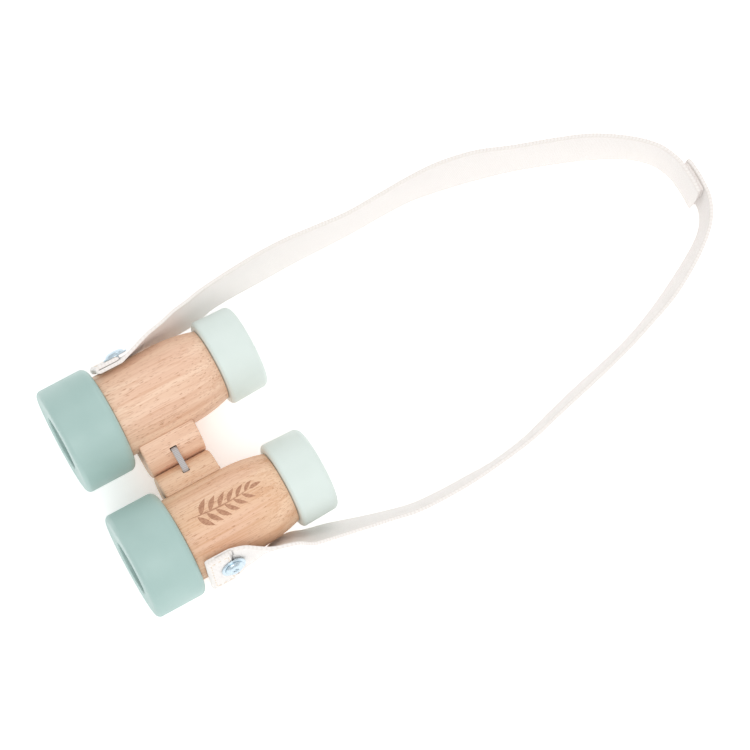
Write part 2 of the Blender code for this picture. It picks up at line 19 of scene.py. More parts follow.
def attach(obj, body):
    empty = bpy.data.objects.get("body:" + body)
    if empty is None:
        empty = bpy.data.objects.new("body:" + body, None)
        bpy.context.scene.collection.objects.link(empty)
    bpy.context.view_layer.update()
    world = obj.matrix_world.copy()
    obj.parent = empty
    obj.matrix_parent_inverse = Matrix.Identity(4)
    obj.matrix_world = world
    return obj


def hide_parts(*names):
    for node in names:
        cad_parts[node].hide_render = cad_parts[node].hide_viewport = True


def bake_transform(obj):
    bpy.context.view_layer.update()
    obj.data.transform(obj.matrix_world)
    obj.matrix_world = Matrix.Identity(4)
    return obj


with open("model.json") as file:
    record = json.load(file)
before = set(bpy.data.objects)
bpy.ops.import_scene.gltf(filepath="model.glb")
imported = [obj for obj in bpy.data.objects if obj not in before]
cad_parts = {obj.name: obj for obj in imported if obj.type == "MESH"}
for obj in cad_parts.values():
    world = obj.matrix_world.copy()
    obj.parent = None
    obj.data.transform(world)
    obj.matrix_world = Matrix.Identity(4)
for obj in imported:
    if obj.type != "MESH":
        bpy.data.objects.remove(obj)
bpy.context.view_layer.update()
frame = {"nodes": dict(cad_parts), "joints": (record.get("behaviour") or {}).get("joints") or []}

# %% [markdown]
# ## Places
#
# Both tubes lie tilted, because the front ring is larger than the rear one, and both are folded
# about the hinge. The joints in the frame say where the two rolling axes are and which way the
# tubes point. Every place on a tube is then three distances from its axis in millimetres: out to
# the strap's side, back from the front face, and up. One function turns those into metres.

# %% A tube's own directions
MM = 0.001
FOLD = math.radians(16.5)
ROLL_CENTRE = 23.9
BLOCK_MIDDLE = 44.6
SIDES = {"left": -1, "right": 1}

pivots = {name: next(np.array(j["pos_m"]) for j in frame["joints"] if j["name"] == name + "_fold")
          for name in SIDES}
forward = next(np.array(j["axis"]) for j in frame["joints"] if j["name"] == "left_fold")
across = np.array([1.0, 0.0, 0.0])
raised = np.cross(across, forward)
tilt = math.atan2(forward[2], forward[1])
hinge_middle = (pivots["left"] + pivots["right"]) / 2


def ways(name):
    """A tube's outward and upward directions: the two level ones, turned by the fold."""
    side = SIDES[name]
    out = side * math.cos(FOLD) * across + math.sin(FOLD) * raised
    up = -side * math.sin(FOLD) * across + math.cos(FOLD) * raised
    return out, up


def on_tube(name, out, behind, up):
    """Places in metres: the rolling axis, plus each distance times its direction."""
    outward, upward = ways(name)
    out, behind, up = np.broadcast_arrays(out, behind, up)
    return pivots[name] + MM * (
        (ROLL_CENTRE + out)[..., None] * outward
        + (BLOCK_MIDDLE - behind)[..., None] * forward
        + up[..., None] * upward
    )


print("tilt", round(math.degrees(tilt), 2), "degrees; hinge at", np.round(hinge_middle * 1000, 2))

# %% [markdown]
# ## Camera
#
# The camera looks down from high on the left, with a long lens. Its three directions
# are worked out from where it stands, what it looks at and a small roll.

# %% Camera
CAMERA_PLACE = np.array([-0.2762, 0.0419, 1.3462])
CAMERA_TARGET = np.array([-0.004567, -0.097338, 0.0])
CAMERA_LENS = 137.69
CAMERA_ROLL = math.radians(-2.55)


def unit(vector):
    return vector / np.linalg.norm(vector)


look = unit(CAMERA_TARGET - CAMERA_PLACE)
level_right = unit(np.cross(look, (0, 0, 1)))
level_up = np.cross(level_right, look)
right = math.cos(CAMERA_ROLL) * level_right + math.sin(CAMERA_ROLL) * level_up
turn = Matrix(np.column_stack([right, np.cross(right, look), -look]).tolist()).to_4x4()
camera = bpy.data.objects.new("camera", bpy.data.cameras.new("camera"))
camera.data.lens = CAMERA_LENS
camera.data.sensor_width = 36.0
camera.matrix_world = Matrix.Translation(CAMERA_PLACE.tolist()) @ turn
bpy.context.collection.objects.link(camera)
bpy.context.scene.camera = camera

# %% [markdown]
# ## From arrays to meshes
#
# A surface is a grid of points worked out as whole arrays. Neighbouring points make the faces. A
# grid can be closed round either way, and where a row shrinks to a point, its copies are merged.
# The signed volume, a sum of corner triple products, says whether the faces point outwards.


# %% Meshes from grids
def mesh_piece(name, points, faces, material, smooth_angle=40):
    """A closed piece: doubles merged, faces turned outwards, shading smooth but for edges."""
    mesh = bpy.data.meshes.new(name)
    mesh.from_pydata(np.asarray(points).reshape(-1, 3).tolist(), [], faces)
    bm = bmesh.new()
    bm.from_mesh(mesh)
    bmesh.ops.remove_doubles(bm, verts=bm.verts[:], dist=1e-7)
    bmesh.ops.dissolve_degenerate(bm, edges=bm.edges[:], dist=1e-8)
    if bm.calc_volume(signed=True) < 0:
        bmesh.ops.reverse_faces(bm, faces=bm.faces[:])
    bm.to_mesh(mesh)
    bm.free()
    mesh.shade_smooth()
    mesh.set_sharp_from_angle(angle=math.radians(smooth_angle))
    mesh.materials.append(material)
    piece = bpy.data.objects.new(name, mesh)
    bpy.context.collection.objects.link(piece)
    return piece


def grid_faces(rows, columns, close_rows=False, close_columns=True, start=0):
    """Four-cornered faces between neighbours of a grid whose points are numbered row by row."""
    i = np.arange(rows if close_rows else rows - 1)[:, None]
    j = np.arange(columns if close_columns else columns - 1)[None, :]
    below, beside = (i + 1) % rows, (j + 1) % columns
    corners = [i * columns + j, below * columns + j, below * columns + beside, i * columns + beside]
    return (start + np.stack(np.broadcast_arrays(*corners), -1)).reshape(-1, 4).tolist()


def grids_piece(name, grids, material, close_rows=False, **options):
    """One piece of one or more grids of points."""
    faces, start = [], 0
    for grid in grids:
        faces += grid_faces(grid.shape[0], grid.shape[1], close_rows, start=start)
        start += grid.shape[0] * grid.shape[1]
    points = np.concatenate([grid.reshape(-1, 3) for grid in grids])
    return mesh_piece(name, points, faces, material, **options)


def rounded(corners, steps=8, closed=True):
    """A path through (a, b, radius) corners, each replaced by an arc that touches both its sides.

    The arc's centre lies on the corner's bisector, radius / sin(half the angle) away from it.
    """
    places = np.array([corner[:2] for corner in corners], float)
    path = []
    for i, (place, corner) in enumerate(zip(places, corners)):
        if corner[2] == 0 or (not closed and i in (0, len(corners) - 1)):
            path.append(place)
            continue
        back, ahead = unit(places[i - 1] - place), unit(places[(i + 1) % len(places)] - place)
        half = math.acos(np.clip(back @ ahead, -1, 1)) / 2
        centre = place + unit(back + ahead) * corner[2] / math.sin(half)
        starts = place + back * corner[2] / math.tan(half) - centre
        ends = place + ahead * corner[2] / math.tan(half) - centre
        share = np.linspace(0, 1, steps + 1)[:, None]
        path += list(centre + unit_rows(starts * (1 - share) + ends * share) * corner[2])
    return np.array(path)


def unit_rows(vectors):
    return vectors / np.linalg.norm(vectors, axis=-1, keepdims=True)


def carve(piece, cutter):
    """Cut one mesh out of another, and keep the result as a plain mesh."""
    boolean = piece.modifiers.new("carve", "BOOLEAN")
    boolean.object, boolean.operation, boolean.solver = cutter, "DIFFERENCE", "EXACT"
    bpy.context.view_layer.update()
    evaluated = piece.evaluated_get(bpy.context.evaluated_depsgraph_get())
    carved = bpy.data.meshes.new_from_object(evaluated)
    piece.modifiers.clear()
    piece.data = carved
    carved.set_sharp_from_angle(angle=math.radians(35))
    bpy.data.objects.remove(cutter, do_unlink=True)


# %% [markdown]
# ## Finishes
#
# Each finish is a small graph of nodes. One helper adds a node, sets it up and links it. Colours
# are given as they look on a screen and turned to linear light. Patterns read Object coordinates in
# metres, so a scale is one over a real size. On the tape, patterns read an attribute that holds the
# way along and across it in millimetres.


# %% Colours and nodes
def colour(text):
    """Screen colour to linear light: the lower end is a line, the rest a power of 2.4."""
    values = [int(text[i:i + 2], 16) / 255 for i in (1, 3, 5)]
    return (*[v / 12.92 if v <= 0.04045 else ((v + 0.055) / 1.055) ** 2.4 for v in values], 1.0)


def add(tree, kind, settings=None, inputs=None, out=0):
    """Add a node, set its properties and inputs, and return one of its outputs."""
    made = tree.nodes.new("ShaderNode" + kind)
    for key, value in (settings or {}).items():
        setattr(made, key, value)
    for key, value in (inputs or {}).items():
        if isinstance(value, bpy.types.NodeSocket):
            tree.links.new(value, made.inputs[key])
        else:
            made.inputs[key].default_value = value
    return made.outputs[out]


def finish(name, base, roughness, **plain):
    """A new material with its shader: plain values go straight to the shader's own sockets."""
    made = bpy.data.materials.new(name)
    made.use_nodes = True
    shader = made.node_tree.nodes["Principled BSDF"]
    shader.inputs["Base Color"].default_value = colour(base)
    shader.inputs["Roughness"].default_value = roughness
    for key, value in plain.items():
        shader.inputs[key.replace("_", " ").title().replace("Ior", "IOR")].default_value = value
    return made, made.node_tree, shader


def ramp(tree, value, low, high, to_low=0.0, to_high=1.0):
    """A value stretched so that low and high become two new values, and held between them."""
    settings = {"interpolation_type": "SMOOTHSTEP"}
    return add(tree, "MapRange", settings, {0: value, 1: low, 2: high, 3: to_low, 4: to_high})


def mix(tree, share, first, second, blend="MIX"):
    settings = {"data_type": "RGBA", "blend_type": blend}
    inputs = {0: share}
    for key, value in ((6, first), (7, second)):
        inputs[key] = colour(value) if isinstance(value, str) else value
    return add(tree, "Mix", settings, inputs, out=2)


def noise(tree, place, size, detail=2.0, rough=0.5):
    """Noise whose blobs have the given sizes in metres along the three axes."""
    scaled = add(tree, "Mapping", None, {"Vector": place, "Scale": [1 / s for s in size]})
    return add(tree, "TexNoise", None, {"Vector": scaled, "Scale": 1.0, "Detail": detail,
                                        "Roughness": rough})


def bump(tree, shader, height, distance, strength=1.0):
    made = add(tree, "Bump", None, {"Height": height, "Distance": distance, "Strength": strength})
    tree.links.new(made, shader.inputs["Normal"])


# %% [markdown]
# ### Beech
#
# European beech, steamed, turned and sanded, under a thin matt lacquer. It is a pale pinkish tan.
# Its grain runs along the tube as soft bands, with fine streaks half a millimetre wide and the
# short darker dashes that give beech away: the ends of its rays, a third of a millimetre wide and
# nearly three long. The pattern is turned by the tubes' tilt, so that the grain lies along them.


# %% Beech
def beech(name, light="#EECBAC", dark="#D3A079", pink="#E8BEA4", shift=(0, 0, 0)):
    made, tree, shader = finish(name, light, 0.5, ior=1.5)
    place = add(tree, "TexCoord", None, None, out=3)
    place = add(tree, "Mapping", {"vector_type": "TEXTURE"},
                {"Vector": place, "Location": shift, "Rotation": (tilt, 0, 0)})
    warp = noise(tree, place, (0.012, 0.09, 0.012), 2.0)
    warped = add(tree, "VectorMath", {"operation": "MULTIPLY_ADD"},
                 {0: place, 1: (1, 1, 1), 2: add(tree, "CombineXYZ", None, {
                     0: add(tree, "Math", {"operation": "MULTIPLY"}, {0: warp, 1: 0.008})})})
    bands = add(tree, "TexWave", {"wave_type": "RINGS", "rings_direction": "Y"},
                {"Vector": add(tree, "Mapping", None, {"Vector": warped,
                                                       "Location": (0.031, 0, 0.022)}),
                 "Scale": 0.314 / 0.0062, "Distortion": 1.2, "Detail": 1.0, "Detail Scale": 0.5},
                out=1)
    base = mix(tree, ramp(tree, bands, 0.1, 0.95, 0.0, 0.34), light, dark)
    blush = noise(tree, place, (0.016, 0.055, 0.016), 1.0)
    base = mix(tree, ramp(tree, blush, 0.45, 0.75, 0.0, 0.6), base, pink)
    for size, most in (((0.0019, 0.06, 0.0019), 0.5), ((0.0006, 0.026, 0.0006), 0.6)):
        streaks = noise(tree, place, size, 2.0, 0.6)
        base = mix(tree, ramp(tree, streaks, 0.48, 0.7, 0.0, most), base, dark)
    rays = noise(tree, place, (0.00032, 0.0028, 0.00032), 1.0, 0.4)
    clusters = noise(tree, place, (0.007, 0.02, 0.007), 1.0)
    rays = add(tree, "Math", {"operation": "MULTIPLY_ADD"}, {0: clusters, 1: 0.22, 2: rays})
    marks = ramp(tree, rays, 0.72, 0.82, 0.0, 0.7)
    base = mix(tree, marks, base, "#B47C5B")
    tree.links.new(base, shader.inputs["Base Color"])
    bump(tree, shader, add(tree, "Math", {"operation": "SUBTRACT"}, {0: 1.0, 1: marks}), 0.00004)
    return made


barrel_wood = {"left": beech("steamed_beech_turned_left", shift=(0.011, 0.02, 0.004)),
               "right": beech("steamed_beech_turned_right", light="#F1D1B7", dark="#D8A888")}
block_wood = {"left": beech("steamed_beech_block_left", light="#E9C8AA", shift=(0.02, 0.05, 0.01)),
              "right": beech("steamed_beech_block_right", light="#F0CFB5", dark="#D8A888",
                             shift=(0.004, 0.03, 0.02))}

# %% [markdown]
# ### Paint
#
# Water-based satin enamel, sprayed over turned wood and sanded between coats. It looks smooth and
# even, with a broad soft shine. The wood's pores print through very faintly, and the coat is
# thinner and a touch lighter where it draws back from the rounded edges.


# %% Paint
def satin_paint(name, base, deep):
    made, tree, shader = finish(name, base, 0.42, ior=1.5)
    place = add(tree, "TexCoord", None, None, out=3)
    cloud = noise(tree, place, (0.014, 0.014, 0.014), 2.0)
    tree.links.new(mix(tree, ramp(tree, cloud, 0.35, 0.75, 0.0, 0.5), base, deep),
                   shader.inputs["Base Color"])
    peel = noise(tree, place, (0.0012, 0.0012, 0.0012), 1.0)
    pores = noise(tree, place, (0.0004, 0.003, 0.0004), 1.0)
    height = add(tree, "Math", {"operation": "MULTIPLY_ADD"}, {0: pores, 1: 0.5, 2: peel})
    bump(tree, shader, height, 0.00003)
    tree.links.new(ramp(tree, cloud, 0.3, 0.7, 0.38, 0.48), shader.inputs["Roughness"])
    return made


teal_paint = satin_paint("satin_enamel_teal", "#A6C1BC", "#9FBBB6")
mint_paint = satin_paint("satin_enamel_mint", "#D9E4DF", "#D3DFD9")

# %% [markdown]
# ### Plastic, metal and elastic
#
# The lenses are discs cut from clear acrylic sheet, IOR 1.49. The screws and washers are steel with
# bright nickel plate, slightly cool, with fine scuffs. The hinge's loop is braided elastic: grey
# ribs run along it, made in its mesh, and a finer cross weave is bump.

# %% Acrylic, nickel and elastic
acrylic, tree, shader = finish("clear_acrylic_sheet", "#F4FAF9", 0.03, ior=1.49,
                               transmission_weight=1.0)

nickel, tree, shader = finish("bright_nickel_plate", "#C6D6E0", 0.24, metallic=1.0)
place = add(tree, "TexCoord", None, None, out=3)
scuffs = noise(tree, place, (0.0009, 0.0003, 0.0009), 2.0)
tree.links.new(ramp(tree, scuffs, 0.35, 0.7, 0.2, 0.32), shader.inputs["Roughness"])

elastic, tree, shader = finish("braided_elastic_grey", "#B8B5B4", 0.7)
place = add(tree, "Attribute", {"attribute_name": "tape"}, None, out=1)
weave = add(tree, "TexWave", {"bands_direction": "X"}, {"Vector": place, "Scale": 0.314 / 0.8})
tree.links.new(mix(tree, weave, "#A8A6A7", "#C6C3C2"), shader.inputs["Base Color"])
bump(tree, shader, weave, 0.00008)

# %% [markdown]
# ### Cotton tape
#
# The strap is undyed cotton webbing in a fine twill. Real twill ribs here are under a millimetre
# apart; they are drawn a millimetre apart, as coarse as it takes to see them. Threads cross them at
# half that. The colour is ivory, and the hollows of the weave are painted faintly darker as painted
# shade. The surface is fuzzy, and a little sheen stands for the loose fibres. The ribs fade out
# where the plain selvedge starts.


# %% Cotton twill
SELVEDGE_AT = 11.9


def twill(name, light, hollow_shade, rib=1.05):
    made, tree, shader = finish(name, light, 0.9, sheen_weight=0.15, sheen_roughness=0.5)
    place = add(tree, "Attribute", {"attribute_name": "tape"}, None, out=1)
    slanted = add(tree, "Mapping", None, {"Vector": place, "Rotation": (0, 0, math.radians(52))})
    ribs = add(tree, "TexWave", {"bands_direction": "X"},
               {"Vector": slanted, "Scale": 0.314 / rib, "Distortion": 0.35, "Detail": 1.0,
                "Detail Scale": 1.5})
    threads = add(tree, "TexWave", {"bands_direction": "Y"},
                  {"Vector": place, "Scale": 0.314 / (rib / 2)})
    cloth = add(tree, "Math", {"operation": "MULTIPLY_ADD"}, {0: threads, 1: 0.45, 2: ribs})
    fuzz = add(tree, "TexNoise", None, {"Vector": place, "Scale": 1.4, "Detail": 2.0})
    cloth = add(tree, "Math", {"operation": "ADD"}, {0: cloth, 1: fuzz})
    across = add(tree, "SeparateXYZ", None, {0: place}, out=1)
    off_middle = add(tree, "Math", {"operation": "ABSOLUTE"}, {0: across})
    woven = ramp(tree, off_middle, SELVEDGE_AT - 0.6, SELVEDGE_AT, 1.0, 0.5)
    shown = add(tree, "Math", {"operation": "MULTIPLY"}, {0: ramp(tree, cloth, 0.4, 1.6), 1: woven})
    # Painted shade: the weave's hollows take the darker colour. Where the ribs fade at the selvedge,
    # the mix is halved, so the edges lean towards that darker colour too.
    tree.links.new(mix(tree, shown, hollow_shade, light), shader.inputs["Base Color"])
    bump(tree, shader, add(tree, "Math", {"operation": "MULTIPLY"}, {0: cloth, 1: woven}), 0.00014)
    return made


# E6DFD9 is the painted shade in the weave's hollows.
cotton = twill("cotton_twill_ivory", "#FAF7F5", "#E6DFD9")

# %% [markdown]
# ### Pile, thread and scorch
#
# The closure's two patches are hook-and-loop tape, a rough white nap. The sewing thread is beige
# polyester. The twig on the left tube is burnt into the wood: brown, matt, and darker where the
# beam went slowly.

# %% Pile, thread and scorch
pile, tree, shader = finish("hook_and_loop_pile", "#F5F0ED", 0.95)
place = add(tree, "TexCoord", None, None, out=3)
nap = noise(tree, place, (0.0007, 0.0007, 0.0007), 3.0, 0.7)
tree.links.new(mix(tree, ramp(tree, nap, 0.35, 0.65), "#EAE2DE", "#FBF7F5"),
               shader.inputs["Base Color"])
bump(tree, shader, nap, 0.0004)

thread, tree, shader = finish("polyester_thread_beige", "#EADCC9", 0.6, sheen_weight=0.1)

scorch, tree, shader = finish("scorched_beech", "#B38663", 0.7)
place = add(tree, "TexCoord", None, None, out=3)
burn = noise(tree, place, (0.0006, 0.0012, 0.0006), 2.0)
tree.links.new(mix(tree, ramp(tree, burn, 0.35, 0.65), "#A9795D", "#C09174"),
               shader.inputs["Base Color"])

# %% [markdown]
# ## Turned pieces
#
# Rings and barrels were made on a lathe, so each one is a closed outline of distances behind the
# front face and radii, turned round the tube's axis. The corners of the outline carry the small
# roundings that sanding leaves. 160 steps round keep the rims smooth up close.


# %% Turning
pieces = {}


def turned(name, tube, outline, material, closed=True, sides=160, steps=8):
    """out = radius cos(angle), up = radius sin(angle), for every outline point and angle."""
    behind, radius = rounded(outline, steps, closed).T[:, :, None]
    angle = np.linspace(0, 2 * np.pi, sides, endpoint=False)
    grid = on_tube(tube, radius * np.cos(angle), behind, radius * np.sin(angle))
    pieces[name] = grids_piece(name, [grid], material, close_rows=closed)
    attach(pieces[name], tube + "_tube")
    return pieces[name]


RING = [(0, 13.4, 0.8), (0, 26.7, 2.5), (26.3, 26.7, 3.5), (26.3, 17, 0.4), (12.3, 17, 0.2),
        (12.3, 15.3, 0.2), (10, 15.3, 0.2), (10, 13.4, 0.3)]
EYEPIECE = [(80, 14.5, 0.3), (80, 21.6, 2), (100, 21, 3), (100, 10, 1.2), (90.8, 10, 0.2),
            (90.8, 12.7, 0.2), (88.5, 12.7, 0.2), (88.5, 14.5, 0.2)]
STRAIGHT_END, TAPER_END = (58.5, 20.9), (79.7, 17.7)


def taper(steps=24):
    """The circle that leaves the straight part level and passes through the rear shoulder.

    Its radius is (run squared + fall squared) / (2 fall).
    """
    run, fall = TAPER_END[0] - STRAIGHT_END[0], STRAIGHT_END[1] - TAPER_END[1]
    sweep = (run**2 + fall**2) / (2 * fall)
    angle = np.linspace(0, math.asin(run / sweep), steps)
    behind = STRAIGHT_END[0] + sweep * np.sin(angle)
    return behind, STRAIGHT_END[1] - sweep * (1 - np.cos(angle))


BARREL = [(12.6, 12, 0.3), (12.6, 16.7, 0.3), (26.6, 16.7, 0.1), (26.6, 20.9, 0.4)]
BARREL += [(behind, radius, 0) for behind, radius in zip(*taper())]
BARREL += [(79.7, 14.2, 0.1), (88.2, 14.2, 0.3), (88.2, 10, 0.3)]

for tube in SIDES:
    turned(tube + "_front_ring", tube, RING, teal_paint)
    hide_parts(tube + "_objective_ring")
    turned(tube + "_turned_barrel", tube, BARREL, barrel_wood[tube])
    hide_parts(tube + "_barrel")
    turned(tube + "_rear_ring", tube, EYEPIECE, mint_paint)
    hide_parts(tube + "_eyepiece_ring")
    for end, front, radius in (("objective", 10.3, 15.0), ("eyepiece", 88.5, 12.4)):
        disc = [(front, 0, 0), (front, radius, 0.35), (front + 2, radius, 0.35), (front + 2, 0, 0)]
        name = f"{tube}_{end}_disc"
        turned(name, tube, disc, acrylic, closed=False)
        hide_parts(f"{tube}_{end}_lens")
print("turned pieces:", len(pieces))

# %% [markdown]
# ## Hinge blocks
#
# Each block was sawn and sanded from beech: a half-round end that rolls on the other block, flat
# top and bottom, and a hollow that sits on the barrel. Its outline is drawn once and repeated along
# the block. Near both ends the outline is drawn in along its normals on a quarter circle, which is
# the rounding that a sanding belt leaves. The slot for the elastic is cut afterwards.

# %% Hinge blocks
ROLL_RADIUS = 10.9
BLOCK_LENGTH = 29.0
BLOCK_ROUND = 1.1
SADDLE_RADIUS = 20.95
SLOT_INSET = 2.1
BLOCK_CENTRE = -26.5
CUTTER_REACH = 30.0


def arc(centre, radius, start, end, steps):
    """Corners without rounding, on a circle from one angle to another."""
    angle = np.radians(np.linspace(start, end, steps))
    return [(centre + radius * math.cos(a), radius * math.sin(a), 0) for a in angle]


def drawn_in(outline, amount):
    """An outline moved inwards: each point goes along the normal of its two neighbours' line."""
    along = unit_rows(np.roll(outline, -1, 0) - np.roll(outline, 1, 0))
    return outline + amount * np.stack([-along[:, 1], along[:, 0]], 1)


reach = math.degrees(math.asin(ROLL_RADIUS / SADDLE_RADIUS))
edge = -math.sqrt(SADDLE_RADIUS**2 - ROLL_RADIUS**2)
corners = arc(-ROLL_CENTRE, ROLL_RADIUS, 90, 270, 49) + [(edge, -ROLL_RADIUS, 0.2)]
corners += arc(0, SADDLE_RADIUS, 180 + reach - 2.5, 180 - reach + 2.5, 25)
corners += [(edge, ROLL_RADIUS, 0.2)]
block_outline = rounded(corners, 4)
quarter = np.linspace(0, np.pi / 2, 7)
draw_out = BLOCK_ROUND * (1 - np.sin(quarter))
draws = np.concatenate([draw_out, draw_out[::-1]])
insets = BLOCK_ROUND * (1 - np.cos(quarter))
block_front = BLOCK_MIDDLE - BLOCK_LENGTH / 2
stops = np.concatenate([block_front + insets, block_front + BLOCK_LENGTH - insets[::-1]])

for tube in SIDES:
    rows = [drawn_in(block_outline, draw) for draw in draws]
    middle = np.broadcast_to([BLOCK_CENTRE, 0.0], block_outline.shape)
    rows, places = [middle, *rows, middle], [stops[0], *stops, stops[-1]]
    flat = np.array(rows)
    grid = on_tube(tube, flat[..., 0], np.array(places)[:, None], flat[..., 1])
    block = grids_piece(tube + "_rolling_block", [grid], block_wood[tube])
    slot = rounded([(-1.8, -0.9, 0.5), (1.8, -0.9, 0.5), (1.8, 1.0, 0.5), (-1.8, 1.0, 0.5)], 4)
    heights = CUTTER_REACH * np.array([-1.0, -1.0, 1.0, 1.0])[:, None]
    sizes = np.array([0.0, 1.0, 1.0, 0.0])[:, None]
    cutter = on_tube(tube, -ROLL_CENTRE - SLOT_INSET + sizes * slot[:, 1],
                     BLOCK_MIDDLE + sizes * slot[:, 0], heights)
    carve(block, grids_piece("slot_cutter", [cutter], block_wood[tube]))
    pieces[block.name] = block
    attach(block, tube + "_tube")
    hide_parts(tube + "_hinge_block")
print("block faces:", len(block.data.polygons))

# %% [markdown]
# ## Elastic loop
#
# A flat braided loop goes down one slot, under both blocks, up the other slot and back across the
# top. A ribbed outline, three millimetres by one, is carried along that path. It is made in two
# halves that meet in the middle, one for each tube.

# %% Elastic loop
ELASTIC_WIDTH, ELASTIC_THICKNESS, ELASTIC_BEND = 3.0, 1.0, 2.0
ELASTIC_GAP = 0.15
ELASTIC_RIBS = 5


def resampled(path, spacing):
    """Points at even distances along a path, and how far along each one is."""
    path = np.asarray(path, float)
    far = np.concatenate([[0], np.cumsum(np.linalg.norm(np.diff(path, axis=0), axis=1))])
    at = np.linspace(0, far[-1], max(2, int(far[-1] / spacing) + 1))
    return np.stack([np.interp(at, far, column) for column in path.T], 1), at


def attribute(piece, name, values):
    """Store a vector for each vertex, for the finish to read."""
    made = piece.data.attributes.new(name, "FLOAT_VECTOR", "POINT")
    made.data.foreach_set("vector", np.asarray(values, np.float32).ravel())


slot_x = pivots["right"][0] / MM - SLOT_INSET * math.cos(FOLD)
slot_z = -SLOT_INSET * math.sin(FOLD)
above = slot_z + math.sqrt(ROLL_RADIUS**2 - SLOT_INSET**2) * math.cos(FOLD)
above += ELASTIC_GAP + ELASTIC_THICKNESS / 2
below = -ROLL_RADIUS - ELASTIC_GAP - ELASTIC_THICKNESS / 2
top_x, bottom_x = (slot_x - (height - slot_z) * math.tan(FOLD) for height in (above, below))
loop = rounded([(0, above, 0), (top_x, above, ELASTIC_BEND), (bottom_x, below, ELASTIC_BEND),
                (0, below, 0)], 10, closed=False)
path, along = resampled(loop, 0.3)
ahead = unit_rows(np.gradient(path, axis=0))
normal = np.stack([ahead[:, 1], -ahead[:, 0]], 1)
turns = np.linspace(0, 2 * np.pi, 64, endpoint=False)
wide = ELASTIC_WIDTH / 2 * np.sign(np.cos(turns)) * np.abs(np.cos(turns)) ** 0.45
thick = np.sign(np.sin(turns)) * np.abs(np.sin(turns)) ** 0.45
rib_turn = 2 * np.pi * wide / (ELASTIC_WIDTH / ELASTIC_RIBS)
ribs = 0.5 * ELASTIC_THICKNESS * (1 - 0.14 * (1 - np.cos(rib_turn)))
for tube, side in SIDES.items():
    flat = path[:, None, :] + normal[:, None, :] * (thick * ribs)[:, None]
    rows = np.concatenate([path[:1, None] + 0 * flat[:1], flat, path[-1:, None] + 0 * flat[:1]])
    widths = np.broadcast_to(wide, (len(path), len(wide)))
    widths = np.concatenate([0 * wide[None], widths, 0 * wide[None]])
    grid = hinge_middle + MM * (side * rows[..., :1] * across + rows[..., 1:] * raised
                                + widths[..., None] * forward)
    half = grids_piece(tube + "_elastic_half", [grid], elastic)
    local = np.array([vertex.co[:] for vertex in half.data.vertices]) - hinge_middle
    nearest = np.argmin(((np.abs(local @ across) / MM)[:, None] - path[:, 0]) ** 2
                        + (((local @ raised) / MM)[:, None] - path[:, 1]) ** 2, axis=1)
    attribute(half, "tape", np.stack([along[nearest], local @ forward / MM, 0 * along[nearest]], 1))
    pieces[half.name] = half
    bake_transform(half)
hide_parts("hinge_elastic")
print("elastic loop, mm round:", round(2 * along[-1], 1))

# %% [markdown]
# ## Neck strap
#
# One flat cotton tape runs from each tube to a break-away closure behind. It stands on edge on the
# table, leaning out a little. At the tube its end is folded over and sewn: the tape comes in
# against the barrel, turns round at the front and comes back outside, where its cut end shows. The
# route is the frame's own: points outward and forward of the screw, the share of the screw's
# height at which the lower edge lies, and the lean in degrees. A smooth curve joins them.

# %% The tape's route
TAPE_WIDTH, TAPE_THICKNESS, TAPE_LIFT = 25.7, 1.6, 0.5
SCREW_BEHIND = 41.5
INNER_LAYER, OUTER_LAYER, MIDDLE_LAYER = 22.0, 23.62, 22.9
FOLD_FRONT, FLAP_END = 28.9, 42.2
CLOSURE_RADIUS, CLOSURE_BEHIND, CLOSURE_LEAN = 60.0, 281.0, math.radians(5)
OUTER_STRAP_LAYER = 3.9
PEEL = math.radians(8)
ARCS = {"right": (-10.0, 9.0, 0.0), "left": (11.0, -8.0, OUTER_STRAP_LAYER)}
RUNS = {
    "right": [
        (2.4, -17.2, 0.84, -4), (4.3, -29.2, 0.52, 6.5), (6.1, -41.2, 0.28, 10.3),
        (8.9, -53.2, 0.14, 9.5), (10.1, -65.2, 0.06, 11.5), (10.7, -81.2, 0, 14),
        (10.4, -97.2, 0, 13), (9.3, -113.2, 0, 10), (8.5, -129.2, 0, 7), (9.0, -147.2, 0, 7),
        (8.9, -163.2, 0, 9), (7.1, -179.2, 0, 14), (3.3, -197.2, 0, 15), (-2.3, -214.2, 0, 10),
        (-9.3, -233.2, 0, 10), (-16.7, -250.2, 0, 10), (-26.3, -266.0, 0, 6),
        (-35.9, -275.8, 0.02, 5),
    ],
    "left": [
        (2.9, -18.6, 0.83, 9), (3.4, -30.2, 0.56, 23), (5.5, -39.2, 0.36, 25),
        (7.3, -49.2, 0.20, 25), (10.1, -61.2, 0.09, 22), (13.3, -74.7, 0, 19),
        (16.6, -88.2, 0, 18), (17.8, -103.2, 0, 17), (17.7, -117.2, 0, 16),
        (16.7, -133.2, 0, 13), (13.9, -152.2, 0, 13), (9.9, -168.2, 0, 14),
        (5.3, -187.2, 0, 15), (0.3, -207.2, 0, 14), (-5.3, -225.7, 0, 13),
        (-12.5, -244.9, 0, 15), (-21.7, -262.3, 0, 13), (-30.5, -274.8, 0, 9),
        (-37.5, -280.9, 0, 6),
    ],
}


def closure_places(seat, angles, layer):
    """Places on the closure's circle, and the tape's upward way there, leaning outwards."""
    angle = np.radians(np.asarray(angles, float))[:, None]
    out = np.concatenate([-np.sin(angle), -np.cos(angle), 0 * angle], 1)
    rise = np.array([0, 0, 1.0])
    up = out * math.sin(CLOSURE_LEAN) + rise * math.cos(CLOSURE_LEAN)
    normal = out * math.cos(CLOSURE_LEAN) - rise * math.sin(CLOSURE_LEAN)
    height = TAPE_LIFT + (OUTER_STRAP_LAYER + TAPE_THICKNESS / 2) * math.sin(CLOSURE_LEAN)
    height += TAPE_WIDTH / 2 * math.cos(CLOSURE_LEAN)
    middle = np.array([0, seat[1] - CLOSURE_BEHIND + CLOSURE_RADIUS, height])
    return middle + out * CLOSURE_RADIUS + normal * layer, up


